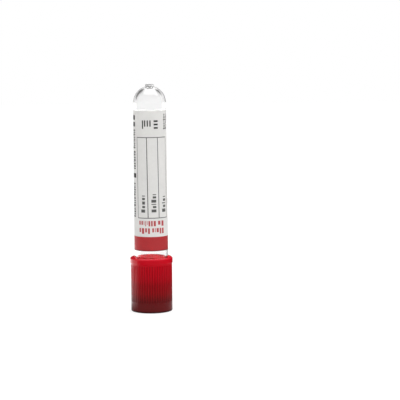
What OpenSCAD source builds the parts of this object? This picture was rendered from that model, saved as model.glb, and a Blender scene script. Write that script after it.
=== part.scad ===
// Blood collection tube, 12 x 75 mm, standing on its push-on cap with the round end up.
// Millimetres. Z runs up the common axis of all pieces, and Z = 0 is the cap's end face.
// The label's viewing gap faces +Y.

/* [Tube] */
// Length over all, from the mouth to the tip of the gate nub
tube_len = 75; // [60:1:125]
// Outer diameter at the mouth
tube_d = 12; // [10:0.1:20]
// Wall thickness
tube_wall = 0.95; // [0.7:0.05:1.5]
// Diameter lost to draft between the mouth and the round end
tube_draft = 0.44; // [0:0.02:0.8]
// Straight stretch at the mouth, where the stopper seals
mouth_land = 6; // [5:0.5:12]
// Straight stretch next to the round end
end_land = 2.8; // [1:0.1:8]
// Diameter of the gate nub on the round end
nub_d = 3; // [1.5:0.1:4]
// Height of the gate nub
nub_h = 0.6; // [0.3:0.1:1.5]
// Rounding of the mouth's two edges
mouth_round = 0.3; // [0.1:0.05:0.3]

/* [Label] */
// Length of the label along the tube
label_len = 50.2; // [30:0.2:52]
// Distance from the tube's mouth to the label
label_start = 15.6; // [13.2:0.2:18]
// Thickness of the label
label_t = 0.1; // [0.05:0.01:0.2]
// Angle left bare between the label's two edges
label_gap_a = 35; // [10:1:120]

/* [Stopper] */
// Thickness of the head
head_h = 3.8; // [2.5:0.1:6]
// Length of the plug below the head
plug_len = 6.6; // [5:0.1:9]
// Diameter of the needle well
well_d = 5.9; // [3:0.1:7]
// Depth of the needle well
well_depth = 5.8; // [3:0.1:8]
// Rounding of the well's mouth
well_round = 0.5; // [0.2:0.1:0.8]
// Rounding of the head's and the plug's edges
stopper_round = 0.4; // [0.2:0.1:0.8]
// Diameter of the moulding pips on the head's face
pip_d = 0.6; // [0.4:0.1:1]
// Height of the moulding pips
pip_h = 0.12; // [0.08:0.02:0.2]
// Number of moulding pips
pips = 4; // [2:1:8]

/* [Cap] */
// Height of the cap
cap_h = 19.6; // [17:0.1:26]
// Wall of the skirt, out to the tops of the ribs
cap_wall = 1.2; // [0.9:0.05:2]
// Wall around the stopper's head, out to the same diameter
head_wall = 0.65; // [0.5:0.05:1]
// Height of the lip that keeps the stopper in
lip_h = 0.6; // [0.4:0.1:1.2]
// Reach of the lip over the stopper's head
lip_reach = 0.35; // [0.2:0.05:0.8]
// Height of the inner ledge that the tube's mouth seats on
ledge_h = 2.15; // [1:0.05:3.5]
// Height of the collar round the open end
collar_h = 2.2; // [1.5:0.1:4]
// How far the collar stands out of the ribs
collar_out = 0.2; // [0.1:0.05:0.6]
// Bevel on the collar's outer edge
collar_bevel = 0.45; // [0.2:0.05:0.6]
// Height of the lead-in that guides the tube
lead_in_h = 1.4; // [0.5:0.1:3]
// How far the lead-in opens the bore, on the radius
lead_in = 0.6; // [0.2:0.05:0.7]
// Rounding of the outer edge at the closed end
end_round = 0.4; // [0.2:0.05:0.8]

/* [Grip ribs] */
// Number of grooves between the ribs
ribs = 50; // [24:1:60]
// Width of a groove
groove_w = 0.56; // [0.3:0.02:0.6]
// Depth of a groove
groove_depth = 0.2; // [0.1:0.02:0.26]
// Plain band between the closed end and the ribs
plain_band = 3.5; // [2:0.1:5]
// Plain band between the ribs and the collar
upper_band = 0.2; // [0.2:0.1:2]
// Length over which a groove fades out
groove_fade = 0.4; // [0.3:0.1:1.2]

/* [Fits] */
// Radial clearance between the plug and the tube's bore
plug_clear = 0.04; // [0.02:0.01:0.08]
// Radial clearance between the head and its pocket
head_clear = 0.05; // [0.02:0.01:0.08]
// Clearance under and over the head
head_end_clear = 0.05; // [0.02:0.01:0.1]
// Radial clearance between the plug and the ledge
ledge_clear = 0.05; // [0.02:0.01:0.08]
// Radial clearance between the tube and the skirt
skirt_clear = 0.25; // [0.1:0.05:0.4]
// Clearance between the tube's mouth and the ledge
seat_clear = 0.05; // [0.02:0.01:0.1]

/* [Hidden] */
$fn = 128;
eps = 0.01;

// Radii, from the tube outwards
tube_r = tube_d / 2;
tube_end_r = tube_r - tube_draft / 2;
bore_r = tube_r - tube_wall;
plug_r = bore_r - plug_clear;
ledge_r = plug_r + ledge_clear;
skirt_r = tube_r + skirt_clear;
cap_r = skirt_r + cap_wall;
collar_r = cap_r + collar_out;
pocket_r = cap_r - head_wall;
head_r = pocket_r - head_clear;
lip_r = pocket_r - lip_reach;
well_r = well_d / 2;
pip_circle_r = (well_r + well_round + head_r - stopper_round) / 2;

// Heights above the cap's end face
head_z = lip_h + head_end_clear;
plug_z = head_z + head_h;
plug_end_z = plug_z + plug_len;
ledge_z = plug_z + head_end_clear;
ledge_top_z = ledge_z + ledge_h;
mouth_z = ledge_top_z + seat_clear;
tube_top_z = mouth_z + tube_len;
dome_z = tube_top_z - nub_h - tube_end_r;
taper_start_z = mouth_z + mouth_land;
taper_end_z = dome_z - end_land;
label_z = mouth_z + label_start;
label_top_z = label_z + label_len;

// Half of a body of revolution with the tube's outline, moved outwards by grow
module tube_outline(grow) {
    polygon([
        [0, mouth_z], [tube_r + grow, mouth_z], [tube_r + grow, taper_start_z],
        [tube_end_r + grow, taper_end_z], [tube_end_r + grow, dome_z], [0, dome_z]
    ]);
    intersection() {
        translate([0, dome_z]) circle(tube_end_r + grow);
        translate([0, dome_z]) square(tube_r + grow);
    }
}

// What a rounding takes off a square corner at the origin that has its material at +X and +Y
module corner_cut(r) {
    difference() {
        translate([-eps, -eps]) square(r + eps);
        translate([r, r]) circle(r);
    }
}

module tube() {
    color([0.86, 0.9, 0.92, 0.45])
    rotate_extrude() {
        difference() {
            tube_outline(0);
            tube_outline(-tube_wall);
            translate([bore_r, mouth_z]) corner_cut(mouth_round);
            translate([tube_r, mouth_z]) mirror([1, 0]) corner_cut(mouth_round);
        }
        translate([0, dome_z + tube_end_r - tube_wall / 2]) square([nub_d / 2, tube_wall / 2 + nub_h]);
    }
}

module label() {
    color([0.93, 0.92, 0.9])
    rotate([0, 0, 90 + label_gap_a / 2])
    rotate_extrude(angle = 360 - label_gap_a)
    intersection() {
        difference() {
            tube_outline(label_t);
            tube_outline(0);
        }
        translate([0, label_z]) square([tube_d, label_len]);
    }
}

module stopper() {
    color([0.25, 0.26, 0.28]) {
        rotate_extrude()
        difference() {
            union() {
                translate([0, head_z]) square([head_r, head_h]);
                translate([0, plug_z - eps]) square([plug_r, plug_len + eps]);
            }
            translate([0, head_z - eps]) square([well_r, well_depth + eps]);
            translate([well_r, head_z]) corner_cut(well_round);
            translate([head_r, head_z]) mirror([1, 0]) corner_cut(stopper_round);
            translate([plug_r, plug_end_z]) mirror([1, 0]) mirror([0, 1]) corner_cut(stopper_round);
        }
        for (i = [0 : pips - 1])
            rotate([0, 0, (i + 0.5) * 360 / pips])
            translate([pip_circle_r, 0, head_z - pip_h]) cylinder(h = pip_h + eps, d = pip_d);
    }
}

// One groove's cutter, upright on its axis, fading out at both ends
module groove(length) {
    r = (groove_w * groove_w / 4 + groove_depth * groove_depth) / (2 * groove_depth);
    tip_r = (r - groove_depth) / 2;
    translate([cap_r + r - groove_depth, 0, 0])
    rotate_extrude()
    polygon([
        [0, 0], [tip_r, 0], [r, groove_fade], [r, length - groove_fade], [tip_r, length], [0, length]
    ]);
}

module cap() {
    groove_len = cap_h - collar_h - upper_band - plain_band;
    color([0.72, 0.05, 0.1])
    difference() {
        rotate_extrude()
        difference() {
            union() {
                square([cap_r, cap_h - collar_h]);
                polygon([
                    [0, cap_h - collar_h - eps], [cap_r, cap_h - collar_h - eps],
                    [cap_r, cap_h - collar_h], [collar_r, cap_h - collar_h + collar_out],
                    [collar_r, cap_h - collar_bevel], [collar_r - collar_bevel, cap_h], [0, cap_h]
                ]);
            }
            translate([0, -eps]) square([lip_r, lip_h + 2 * eps]);
            translate([0, lip_h]) square([pocket_r, ledge_z - lip_h]);
            translate([0, ledge_z - eps]) square([ledge_r, ledge_h + 2 * eps]);
            translate([0, ledge_top_z]) square([skirt_r, cap_h - ledge_top_z + eps]);
            polygon([
                [0, cap_h - lead_in_h], [skirt_r, cap_h - lead_in_h],
                [skirt_r + lead_in, cap_h + eps], [0, cap_h + eps]
            ]);
            translate([cap_r, 0]) mirror([1, 0]) corner_cut(end_round);
        }
        for (i = [0 : ribs - 1])
            rotate([0, 0, i * 360 / ribs]) translate([0, 0, plain_band]) groove(groove_len);
    }
}

tube();
label();
stopper();
cap();
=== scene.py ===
"""Blood collection tube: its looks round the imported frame, with floor, light and camera.

Metres. Z runs up the common axis, and the printed front of the label faces -Y. Angles about
the axis are 0 at -Y and grow towards +X.
"""

import math

import bpy
from mathutils import Matrix, Vector


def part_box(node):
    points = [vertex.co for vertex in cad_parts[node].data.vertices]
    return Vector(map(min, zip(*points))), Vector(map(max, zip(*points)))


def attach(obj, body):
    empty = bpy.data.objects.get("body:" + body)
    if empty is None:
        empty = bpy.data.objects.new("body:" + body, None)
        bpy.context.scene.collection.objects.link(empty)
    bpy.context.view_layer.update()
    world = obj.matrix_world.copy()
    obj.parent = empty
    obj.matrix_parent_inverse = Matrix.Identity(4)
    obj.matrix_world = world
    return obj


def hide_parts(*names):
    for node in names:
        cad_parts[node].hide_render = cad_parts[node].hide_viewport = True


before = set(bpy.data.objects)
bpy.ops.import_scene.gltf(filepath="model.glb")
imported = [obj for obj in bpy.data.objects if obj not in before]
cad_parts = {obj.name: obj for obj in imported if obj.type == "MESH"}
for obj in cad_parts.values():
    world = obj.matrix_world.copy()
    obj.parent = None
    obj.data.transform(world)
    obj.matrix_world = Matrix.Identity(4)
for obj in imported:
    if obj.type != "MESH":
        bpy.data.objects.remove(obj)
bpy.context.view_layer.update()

MM = 0.001


# ---------------------------------------------------------------- node graphs


def add(tree, kind, inputs=None, **settings):
    """A node of that kind. An input is a number, a colour or another node's output."""
    made = tree.nodes.new("ShaderNode" + kind)
    for name, value in settings.items():
        setattr(made, name, value)
    for name, value in (inputs or {}).items():
        socket = made.inputs[name]
        if isinstance(value, bpy.types.NodeSocket):
            tree.links.new(value, socket)
        else:
            socket.default_value = value
    return made


def math_node(tree, operation, a, b=0.0, clamp=False):
    made = add(tree, "Math", {0: a, 1: b}, operation=operation, use_clamp=clamp)
    return made.outputs[0]


def product(tree, *values):
    out = values[0]
    for value in values[1:]:
        out = math_node(tree, "MULTIPLY", out, value)
    return out


def towards(tree, way, direction):
    """How far way points towards a direction: 1 along it, 0 square to it, -1 away from it."""
    made = add(tree, "VectorMath", {0: way, 1: direction}, operation="DOT_PRODUCT")
    return made.outputs["Value"]


def new_material(name):
    made = bpy.data.materials.new(name)
    made.use_nodes = True
    made.node_tree.nodes.clear()
    return made, made.node_tree


def finish_surface(tree, shader):
    add(tree, "OutputMaterial", {"Surface": shader.outputs[0]})


def rgba(colour):
    return (*colour, 1.0)


def noise(tree, where, size, detail=3.0, roughness=0.5):
    """Noise whose grain is about size metres wide."""
    made = add(
        tree,
        "TexNoise",
        {"Vector": where, "Scale": 1 / size, "Detail": detail, "Roughness": roughness},
    )
    return made.outputs["Fac"]


def spread(tree, value, low, high, start=0.0, end=1.0):
    """Value from start..end mapped to low..high, and held outside it."""
    made = add(
        tree,
        "MapRange",
        {"Value": value, "From Min": start, "From Max": end, "To Min": low, "To Max": high},
    )
    return made.outputs["Result"]


def ramp(tree, value, stops):
    """Colours by value: stops are (value from 0 to 1, colour)."""
    made = add(tree, "ValToRGB", {"Fac": value})
    elements = made.color_ramp.elements
    for _ in stops[2:]:
        elements.new(1.0)
    for element, (at, colour) in zip(elements, stops):
        element.position = at
        element.color = rgba(colour)
    return made.outputs["Color"]


def mix_colour(tree, amount, a, b):
    made = add(tree, "Mix", {0: amount, 6: a, 7: b}, data_type="RGBA")
    return made.outputs[2]


def bump(tree, height, depth):
    """Bump whose height of 1 stands for depth metres."""
    made = add(tree, "Bump", {"Height": height, "Strength": 1.0, "Distance": depth})
    return made.outputs["Normal"]


# ---------------------------------------------------------------- materials

PLASTIC_IOR = 1.49
# The nub's frost comes in between these two distances below the tube's top.
FROST_FOOT, FROST_HEAD = 0.65 * MM, 0.5 * MM
# Radii in the cap: from the bottom of its grooves almost to the top of its ribs, over which the
# painted groove shade fades out, and from its inside to where the painted glow ends in its wall.
GROOVE_BOTTOM, GROOVE_TOP = 7.25 * MM, 7.41 * MM
INSIDE_START, INSIDE_END = 6.8 * MM, 7.05 * MM
# The stopper's wide head ends at this share of the height that its plug reaches.
HEAD_SHARE = 0.4


def clear_plastic(top):
    """Clear polystyrene. The gate nub, the last bit below top, is frosted and greyish."""
    made, tree = new_material("clear_plastic")
    where = add(tree, "TexCoord").outputs["Object"]
    height = add(tree, "SeparateXYZ", {"Vector": where}).outputs["Z"]
    flow = noise(tree, where, 2.5 * MM, detail=1.0)
    frost = spread(tree, height, 0.0, 1.0, top - FROST_FOOT, top - FROST_HEAD)
    clear, frosted = rgba((0.995, 0.995, 0.995)), rgba((0.62, 0.62, 0.62))
    shader = add(
        tree,
        "BsdfPrincipled",
        {
            "Base Color": mix_colour(tree, frost, clear, frosted),
            "Roughness": spread(tree, frost, 0.03, 0.35),
            "IOR": PLASTIC_IOR,
            "Transmission Weight": spread(tree, frost, 1.0, 0.3),
            "Normal": bump(tree, flow, 0.004 * MM),
        },
    )
    dimming = add(tree, "VolumeAbsorption", {"Color": rgba((0.04, 0.0, 0.0)), "Density": 22.0})
    add(tree, "OutputMaterial", {"Surface": shader.outputs[0], "Volume": dimming.outputs[0]})
    return made


def cap_plastic(cap_height, stopper_top):
    """Translucent red plastic.

    The dark stopper shows through the wall up to stopper_top as painted shade, and painted
    contact shade darkens the end that it stands on. The rim and the inside have a painted glow
    of the light that comes through, with a painted highlight on the rim, and painted shade
    lies in the grooves, a little darker than the ribs.
    """
    made, tree = new_material("cap_plastic")
    where = add(tree, "TexCoord").outputs["Object"]
    place = add(tree, "SeparateXYZ", {"Vector": where}).outputs
    across = add(tree, "CombineXYZ", {"X": place["X"], "Y": place["Y"]}).outputs[0]
    radius = add(tree, "VectorMath", {0: across}, operation="LENGTH").outputs["Value"]
    height = math_node(tree, "DIVIDE", place["Z"], cap_height)
    plug_end = stopper_top / cap_height
    head_end = HEAD_SHARE * plug_end
    # Colour by height, with painted shade below and a painted glow above.
    body = ramp(
        tree,
        height,
        [
            # The end that it stands on, with no light behind it: painted contact shade.
            (0.0, (0.03, 0.001, 0.0015)),
            (0.03, (0.07, 0.0015, 0.002)),
            # Painted shade where the stopper's head lies close behind the wall.
            (0.045, (0.118, 0.002, 0.003)),
            (head_end - 0.04, (0.122, 0.002, 0.003)),
            # Lighter painted shade where its plug lies, deeper in.
            (head_end + 0.05, (0.2, 0.0018, 0.0035)),
            (plug_end - 0.2, (0.28, 0.0012, 0.0045)),
            (plug_end - 0.05, (0.315, 0.0008, 0.0055)),
            # The empty tube above it, with a painted glow rising to a painted highlight on the
            # rim.
            (plug_end + 0.03, (0.42, 0.0005, 0.007)),
            (0.67, (0.46, 0.0003, 0.0085)),
            (0.85, (0.51, 0.0002, 0.009)),
            (0.97, (0.54, 0.0002, 0.01)),
            (0.985, (0.68, 0.008, 0.025)),
            (1.0, (0.8, 0.012, 0.035)),
        ],
    )
    # Painted shade in the grooves, where the radius is small.
    with_painted_groove_shade = mix_colour(
        tree,
        spread(tree, radius, 0.3, 0.0, GROOVE_BOTTOM, GROOVE_TOP),
        body,
        rgba((0.02, 0.0002, 0.0005)),
    )
    # Painted glow on the inside, weaker at the stopper's top and full at the rim.
    glow = spread(tree, place["Z"], 0.25, 1.0, stopper_top, cap_height)
    lit = mix_colour(tree, glow, rgba((0.1, 0.002, 0.003)), rgba((0.9, 0.03, 0.045)))
    within = spread(tree, radius, 1.0, 0.0, INSIDE_START, INSIDE_END)
    colour = mix_colour(tree, within, with_painted_groove_shade, lit)
    grain = noise(tree, where, 0.12 * MM, detail=2.0)
    cloud = noise(tree, where, 2.0 * MM, detail=2.0)
    shader = add(
        tree,
        "BsdfPrincipled",
        {
            "Base Color": colour,
            "Roughness": spread(tree, cloud, 0.2, 0.25, 0.3, 0.7),
            "IOR": PLASTIC_IOR,
            "Specular IOR Level": 0.26,
            "Normal": bump(tree, grain, 0.0006 * MM),
        },
    )
    finish_surface(tree, shader)
    return made


def stopper_rubber():
    """Dark grey rubber, matt and fine-grained, with a pale bloom in patches."""
    made, tree = new_material("stopper_rubber")
    where = add(tree, "TexCoord").outputs["Object"]
    grain = noise(tree, where, 0.08 * MM, detail=4.0, roughness=0.6)
    bloom = noise(tree, where, 1.6 * MM, detail=3.0)
    shader = add(
        tree,
        "BsdfPrincipled",
        {
            "Base Color": mix_colour(
                tree,
                spread(tree, bloom, 0.0, 1.0, 0.35, 0.7),
                rgba((0.03, 0.031, 0.036)),
                rgba((0.05, 0.051, 0.057)),
            ),
            "Roughness": spread(tree, bloom, 0.5, 0.66, 0.3, 0.7),
            "Normal": bump(tree, grain, 0.006 * MM),
        },
    )
    finish_surface(tree, shader)
    return made


def paper_material(name, colour, roughness):
    """Coated label paper with a fine tooth, in one colour: a print, painted shade or painted
    light.
    Some light comes through it.
    """
    made, tree = new_material(name)
    where = add(tree, "TexCoord").outputs["Object"]
    tooth = noise(tree, where, 0.09 * MM, detail=4.0, roughness=0.65)
    cloud = noise(tree, where, 1.2 * MM, detail=3.0)
    darker = rgba([c * 0.965 for c in colour])
    paper = mix_colour(tree, spread(tree, cloud, 0.0, 1.0, 0.3, 0.7), rgba(colour), darker)
    shader = add(
        tree,
        "BsdfPrincipled",
        {
            "Base Color": paper,
            "Roughness": spread(tree, tooth, roughness - 0.05, roughness + 0.05, 0.3, 0.7),
            "Specular IOR Level": 0.2,
            "Normal": bump(tree, tooth, 0.003 * MM),
        },
    )
    through = add(tree, "BsdfTranslucent", {"Color": paper})
    both = add(tree, "MixShader", {0: 0.2, 1: shader.outputs[0], 2: through.outputs[0]})
    finish_surface(tree, both)
    return made


# ---------------------------------------------------------------- label

# The print, with angles in degrees and heights in millimetres. The ruled box has four lines
# along the tube and one round it at each end, and the coloured band has painted shade along
# its lower edge.
BOX_ANGLES = (-47.9, -9.1, 29.7, 68.5)
BOX_HALF_ANGLES = (1.15, 1.4, 1.4, 1.0)
BOX_INKS = ("grey_ink", "dark_grey_ink", "grey_ink", "dark_grey_ink")
BOX_Z = (34.2, 63.0)
BOX_HALF_Z = 0.13
BOX_OVERHANG = 0.7
BAND_TOP = 27.45
# Height in millimetres of the painted shade along the band's lower edge.
BAND_EDGE = 0.32
# How much shorter a low block is than a tall one, in a row and in a column.
ROW_SHORTER = 0.26
COLUMN_SHORTER = 0.28
# Degrees that the print leans for each millimetre of height.
PRINT_LEAN = 0.1
PAPER_THICKNESS = 0.09
# The sheet's columns: the plain ones are so many degrees apart, and so clear of a mark's edge.
COLUMN_STEP = 2.5
COLUMN_CLEARANCE = 0.8
# Material, colour and roughness: the bare paper, the inks, painted shade along the band's lower
# edge, and the side with the glue, partly its own colour and partly painted light.
INKS = (
    ("label_paper", (0.79, 0.782, 0.767), 0.5),
    ("band_ink", (0.51, 0.043, 0.048), 0.4),
    # Painted shade along the band's lower edge.
    ("band_edge_painted_shade", (0.22, 0.02, 0.025), 0.4),
    ("red_ink", (0.54, 0.1, 0.105), 0.45),
    ("grey_ink", (0.2, 0.2, 0.195), 0.5),
    ("dark_grey_ink", (0.13, 0.13, 0.125), 0.5),
    ("black_ink", (0.05, 0.05, 0.048), 0.45),
    # The side with the glue: partly the paper's own colour, partly painted light for what shines
    # through.
    ("glued_side_painted_light", (0.93, 0.93, 0.92), 0.6),
)


def radius_near(node, z):
    """Largest radius of a CAD node's points at a height."""
    points = [v.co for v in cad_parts[node].data.vertices if abs(v.co.z - z) < 0.02 * MM]
    return max(math.hypot(p.x, p.y) for p in points)


def blocks(start, end, widths, gap=0.5):
    """Splits start..end into blocks of these relative widths, with a gap between them."""
    unit = (end - start) / (sum(widths) + gap * (len(widths) - 1))
    for width in widths:
        yield start, start + width * unit
        start += (width + gap) * unit


def label_marks():
    """(angle, angle, z, z, ink) of each printed mark, in degrees and millimetres.

    Ruled lines, and plain blocks where the print has words. In a row or column of blocks, a
    capital in the pattern is a tall block and a small letter a low one: w is wide, n narrow
    and i thin.
    """
    marks = []
    widths = {"w": 1.15, "n": 0.85, "i": 0.35}

    def row(start, end, low, high, pattern, ink):
        """Blocks round the tube, hanging from a common line at the top."""
        sizes = [widths[c.lower()] for c in pattern]
        for c, (a, b) in zip(pattern, blocks(start, end, sizes)):
            foot = low if c.isupper() else low + ROW_SHORTER * (high - low)
            marks.append((a, b, foot, high, ink))

    def column(start, end, low, high, pattern, ink):
        """Blocks along the tube, from a common line on the right."""
        sizes = [widths[c.lower()] for c in pattern]
        for c, (low_end, high_end) in zip(pattern, blocks(low, high, sizes)):
            edge = start if c.isupper() else start + COLUMN_SHORTER * (end - start)
            marks.append((edge, end, low_end, high_end, ink))

    low, high = BOX_Z
    for angle, half, ink in zip(BOX_ANGLES, BOX_HALF_ANGLES, BOX_INKS):
        marks.append((angle - half, angle + half, low, high, ink))
    left, right = BOX_ANGLES[0] - BOX_OVERHANG, BOX_ANGLES[-1] + BOX_OVERHANG
    for z in BOX_Z:
        marks.append((left, right, z - BOX_HALF_Z, z + BOX_HALF_Z, "dark_grey_ink"))

    # Red blocks in two rows above the band.
    row(-43, -4, 28.6, 30.6, "nWnN", "red_ink")
    row(4, 48, 28.6, 30.6, "niwNW", "red_ink")
    row(-43, 17, 31.3, 33.2, "nniIiNNW", "red_ink")
    row(25, 48, 31.3, 33.2, "wW", "red_ink")
    # Large blocks above the box: four upright strokes, and a stack of three.
    for angle, low in zip((-22.4, -14.3, -5.0, 4.3), (66.1, 66.9, 66.9, 66.9)):
        marks.append((angle - 2.2, angle + 2.2, low, 69.1, "black_ink"))
    for low, high in blocks(66.1, 69.1, (1, 1, 1), 0.95):
        marks.append((17.0, 32.0, low, high, "black_ink"))
    # One short column in each part of the box.
    column(-33.6, -19.2, 36.2, 42.3, "Wnwni", "dark_grey_ink")
    column(3.3, 20.0, 36.3, 42.8, "WnIWni", "dark_grey_ink")
    column(43.0, 60.0, 36.25, 41.9, "WnIni", "dark_grey_ink")
    # Small blocks down the left side, and at the top and the edge on the right.
    marks.append((-84, -60, 69.2, 70.8, "black_ink"))
    marks.append((-84, -60, 66.8, 68.4, "black_ink"))
    column(-80, -60, 59.0, 65.7, "WnnIwnINnw", "dark_grey_ink")
    column(-80, -59, 51.6, 58.0, "nwnIwnINw", "black_ink")
    column(-80, -56, 48.5, 50.1, "W", "black_ink")
    column(-80, -62, 34.4, 46.6, "NnwniWnnwINnwnIn", "black_ink")
    column(57, 66, 65.8, 71.2, "NwniNwn", "black_ink")
    column(68.5, 77, 65.8, 71.2, "WnnNwi", "black_ink")
    column(79, 83, 39.0, 41.0, "W", "grey_ink")
    return marks


def grid_lines(marks, edge, low, high):
    """The angles and heights along which the sheet is cut, so that each mark has its faces."""
    angles = {-edge, edge}
    heights = {low, high}
    for a, b, c, d, _ in marks:
        angles |= {round(a, 3), round(b, 3)}
        heights |= {round(c, 3), round(d, 3)}
    steps = int(2 * edge / COLUMN_STEP)
    for i in range(1, steps):
        a = -edge + 2 * edge * i / steps
        if min(abs(a - b) for b in angles) > COLUMN_CLEARANCE:
            angles.add(a)
    return sorted(angles), sorted(heights)


def build_label():
    """The paper sheet: a printed outer side, a plain side with the glue, partly painted light, and
    four edges.
    """
    low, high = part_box("label")
    z0, z1 = round(low.z / MM, 3), round(high.z / MM, 3)
    r0, r1 = radius_near("label", low.z) / MM, radius_near("label", high.z) / MM
    gap_half = math.degrees(math.acos(high.y / MM / r0))
    edge = round(180 - gap_half, 3)
    marks = [
        (-edge, edge, z0, BAND_TOP, "band_ink"),
        # Painted shade along the band's lower edge.
        (-edge, edge, z0, z0 + BAND_EDGE, "band_edge_painted_shade"),
    ]
    marks += label_marks()
    angles, heights = grid_lines(marks, edge, z0, z1)

    def radius(z):
        return r0 + (r1 - r0) * (z - z0) / (z1 - z0)

    def lean(a, z):
        """The print is wound on slightly askew; the sheet's own edges are straight."""
        if a in (-edge, edge) or z in (z0, z1):
            return a
        return a + PRINT_LEAN * ((BOX_Z[0] + BOX_Z[1]) / 2 - z)

    def point(a, r, z):
        t = math.radians(a)
        return r * math.sin(t) * MM, -r * math.cos(t) * MM, z * MM

    def ink_at(a, z):
        """A later mark lies over an earlier one."""
        found = "label_paper"
        for start, end, foot, head, ink in marks:
            if start <= a <= end and foot <= z <= head:
                found = ink
        return found

    verts = [point(lean(a, z), radius(z), z) for z in heights for a in angles]
    inner = len(verts)
    verts += [point(a, radius(z) - PAPER_THICKNESS, z) for z in (z0, z1) for a in angles]

    slots = [name for name, _, _ in INKS]
    # The side with the glue is partly painted light.
    paper, glued = slots.index("label_paper"), slots.index("glued_side_painted_light")
    n = len(angles)
    rows = range(len(heights))
    faces, inks = [], []
    for j in rows[:-1]:
        for i in range(n - 1):
            k = j * n + i
            faces.append((k, k + 1, k + 1 + n, k + n))
            middle = (angles[i] + angles[i + 1]) / 2, (heights[j] + heights[j + 1]) / 2
            inks.append(slots.index(ink_at(*middle)))
    top = rows[-1] * n
    for i in range(n - 1):
        faces.append((inner + i + 1, inner + i, inner + n + i, inner + n + i + 1))
        faces.append((i + 1, i, inner + i, inner + i + 1))
        faces.append((top + i, top + i + 1, inner + n + i + 1, inner + n + i))
        inks += [glued, paper, paper]
    left_edge = [j * n for j in rows]
    right_edge = [j * n + n - 1 for j in reversed(rows)]
    faces.append(left_edge + [inner + n, inner])
    faces.append(right_edge + [inner + n - 1, inner + 2 * n - 1])
    inks += [paper, paper]

    mesh = bpy.data.meshes.new("label_sheet")
    mesh.from_pydata(verts, [], faces)
    mesh.polygons.foreach_set("material_index", inks)
    mesh.shade_smooth()
    mesh.set_sharp_from_angle(angle=math.radians(40))
    for name, colour, roughness in INKS:
        mesh.materials.append(paper_material(name, colour, roughness))
    sheet = bpy.data.objects.new("label_sheet", mesh)
    bpy.context.scene.collection.objects.link(sheet)
    return sheet


# ---------------------------------------------------------------- stage

UP, RIGHT, BEHIND = (0, 0, 1), (1, 0, 0), (0, 1, 0)
LEFT_BEHIND = (-0.829, 0.559, 0)
FRONT = (0.4, -0.92, 0)

FLOOR_HALF = 1.5
# Just under the face that the cap stands on.
FLOOR_Z = -0.02 * MM
# Added to the floor's lit grey, to make it white where it is seen.
FLOOR_WHITE = 0.76
# What glossy walls mirror of the floor, by its distance from the axis in metres: it fades out
# from the first of NEAR_FLOOR, and comes back in BEHIND between the two of FAR_FLOOR. The
# patch lies LEFT_BEHIND, and PATCH_SIDES are cosines of the angle from there.
NEAR_FLOOR = (0.02, 0.07)
FAR_FLOOR = (0.4, 0.5)
PATCH_SIDES = (0.588, 0.695)
PATCH_START, PATCH_END = (0.015, 0.03), (0.2, 0.3)
FLOOR_MIRRORED = 1.7

# Levels of the world. The clear wall stops the lamp's light on its way to paper or rubber, and
# UNDER_CLEAR makes up for it.
BAND_LEVEL = 1.3
DIM_ROOM = 0.22
UNDER_CLEAR = 10.0

# Metres and degrees, from the fit to the photo.
CAMERA_PLACE = (0.01774, -0.600, 0.1044)
CAMERA_DOWN = 6.13
CAMERA_ROLL = -0.5
CAMERA_LENS = 151.0


def build_floor():
    """Plain floor: white where it is seen, and a soft grey for the light it throws back.

    In what glossy walls mirror it ends a little way out, where the dark of the world takes
    over, but for a bright patch at the left behind the object, and the floor far behind it.
    """
    half = FLOOR_HALF
    mesh = bpy.data.meshes.new("floor")
    corners = [(-half, -half), (half, -half), (half, half), (-half, half)]
    mesh.from_pydata([(x, y, FLOOR_Z) for x, y in corners], [], [(0, 1, 2, 3)])
    floor = bpy.data.objects.new("floor", mesh)
    bpy.context.scene.collection.objects.link(floor)
    made, tree = new_material("floor")

    path = add(tree, "LightPath").outputs
    glossy, through = path["Is Glossy Ray"], path["Is Transmission Ray"]
    seen = math_node(tree, "MAXIMUM", path["Is Camera Ray"], through)
    mirrored = math_node(tree, "SUBTRACT", glossy, through, clamp=True)
    grey = mix_colour(tree, mirrored, rgba((0.8, 0.8, 0.8)), rgba((0.5, 0.5, 0.5)))
    grey = mix_colour(tree, seen, grey, rgba((0.28, 0.28, 0.28)))
    diffuse = add(tree, "BsdfDiffuse", {"Color": grey})

    place = add(tree, "TexCoord").outputs["Object"]
    distance = add(tree, "VectorMath", {0: place}, operation="LENGTH").outputs["Value"]
    way = add(tree, "VectorMath", {0: place}, operation="NORMALIZE").outputs["Vector"]
    patch = product(
        tree,
        spread(tree, towards(tree, way, LEFT_BEHIND), 0.0, 1.0, *PATCH_SIDES),
        spread(tree, distance, 0.0, 1.0, *PATCH_START),
        spread(tree, distance, 1.0, 0.0, *PATCH_END),
    )
    far = product(
        tree,
        spread(tree, towards(tree, way, BEHIND), 0.0, 1.0, -0.1, 0.3),
        spread(tree, distance, 0.0, 1.0, *FAR_FLOOR),
    )
    level = math_node(
        tree,
        "ADD",
        product(tree, seen, FLOOR_WHITE),
        product(tree, mirrored, patch, FLOOR_MIRRORED),
    )
    level = math_node(tree, "ADD", level, product(tree, mirrored, far, FLOOR_MIRRORED))
    glow = add(tree, "Emission", {"Strength": level})
    both = add(tree, "AddShader", {0: diffuse.outputs[0], 1: glow.outputs[0]})
    clear = add(tree, "BsdfTransparent")
    unpatched = math_node(tree, "SUBTRACT", 1.0, math_node(tree, "MAXIMUM", patch, far))
    gone = product(tree, mirrored, spread(tree, distance, 0.0, 1.0, *NEAR_FLOOR), unpatched)
    shader = add(tree, "MixShader", {0: gone, 1: both.outputs[0], 2: clear.outputs[0]})
    finish_surface(tree, shader)
    mesh.materials.append(made)


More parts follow.
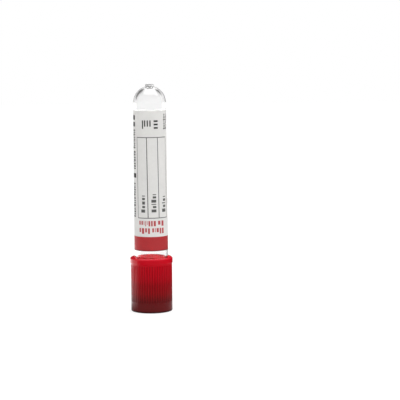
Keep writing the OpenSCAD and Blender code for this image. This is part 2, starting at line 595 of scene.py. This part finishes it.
def build_world():
    """White to the camera, and a plain light for the object, stronger from the right.

    Clear walls see white low down, a dim room higher up, and an upright bright band straight
    behind and in front of the object. Glossy walls mirror the dark, but for a ceiling high
    overhead, which is weaker towards the front.
    """
    world = bpy.data.worlds.new("world")
    bpy.context.scene.world = world
    world.use_nodes = True
    tree = world.node_tree
    tree.nodes.clear()
    way = add(tree, "TexCoord").outputs["Generated"]
    path = add(tree, "LightPath").outputs
    up = towards(tree, way, UP)

    def choose(test, no, yes):
        return add(tree, "Mix", {0: test, 2: no, 3: yes}).outputs[0]

    overhead = spread(tree, up, 0.0, 1.0, 0.75, 0.8)
    front = spread(tree, towards(tree, way, FRONT), 1.0, 0.25, -0.05, 0.2)
    overhead = product(tree, overhead, front)

    room = spread(tree, towards(tree, way, (-0.2, 0, 1)), 1.0, DIM_ROOM, 0.12, 0.38)
    room = choose(spread(tree, up, 0.0, 1.0, 0.04, 0.14), 1.0, room)
    aside = math_node(tree, "ABSOLUTE", towards(tree, way, RIGHT))
    aside = math_node(tree, "SUBTRACT", aside, towards(tree, way, (0, 0, 0.2)))
    band = spread(tree, aside, BAND_LEVEL, 0.0, 0.07, 0.26)
    band = product(tree, band, spread(tree, up, 0.0, 1.0, -0.1, 0.07))
    room = math_node(tree, "MAXIMUM", room, band)
    under = math_node(tree, "GREATER_THAN", path["Diffuse Depth"], 0.5)
    behind_clear = choose(under, room, UNDER_CLEAR)

    plain = spread(tree, towards(tree, way, RIGHT), 0.5, 1.2, -1.0, 1.0)
    level = choose(path["Is Glossy Ray"], plain, overhead)
    level = choose(path["Is Transmission Ray"], level, behind_clear)
    level = choose(path["Is Camera Ray"], level, 1.0)
    back = add(tree, "Background", {"Color": (1, 1, 1, 1), "Strength": level})
    add(tree, "OutputWorld", {"Surface": back.outputs[0]})


def area_lamp(name, place, aim, size, power):
    """A soft rectangular lamp, which no mirror or clear wall shows."""
    data = bpy.data.lights.new(name, "AREA")
    data.shape = "RECTANGLE"
    data.size, data.size_y = size
    data.energy = power
    lamp = bpy.data.objects.new(name, data)
    bpy.context.scene.collection.objects.link(lamp)
    lamp.location = place
    lamp.visible_glossy = False
    lamp.visible_transmission = False
    lamp.rotation_euler = (Vector(aim) - Vector(place)).to_track_quat("-Z", "Y").to_euler()


def build_camera():
    """At the photo's viewing angle, from a little to the right and looking down."""
    data = bpy.data.cameras.new("camera")
    data.lens = CAMERA_LENS
    data.sensor_width = 36.0
    data.clip_start, data.clip_end = 0.01, 10
    camera = bpy.data.objects.new("camera", data)
    bpy.context.scene.collection.objects.link(camera)
    tilt = Matrix.Rotation(math.radians(90 - CAMERA_DOWN), 4, "X")
    tilt = tilt @ Matrix.Rotation(math.radians(CAMERA_ROLL), 4, "Z")
    camera.matrix_world = Matrix.Translation(CAMERA_PLACE) @ tilt
    bpy.context.scene.camera = camera


# ---------------------------------------------------------------- assembly


def dress(node, made):
    """A CAD node keeps its shape and takes this material."""
    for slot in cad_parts[node].material_slots:
        slot.material = made


build_camera()
dress("tube", clear_plastic(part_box("tube")[1].z))
dress("cap", cap_plastic(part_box("cap")[1].z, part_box("stopper")[1].z))
dress("stopper", stopper_rubber())
label_sheet = build_label()
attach(label_sheet, "tube")
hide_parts("label")

build_floor()
build_world()
area_lamp("softbox", place=(0, 0.08, 0.7), aim=(0, 0.08, 0), size=(0.8, 1.1), power=3.6)

bpy.context.scene.view_settings.view_transform = "Standard"
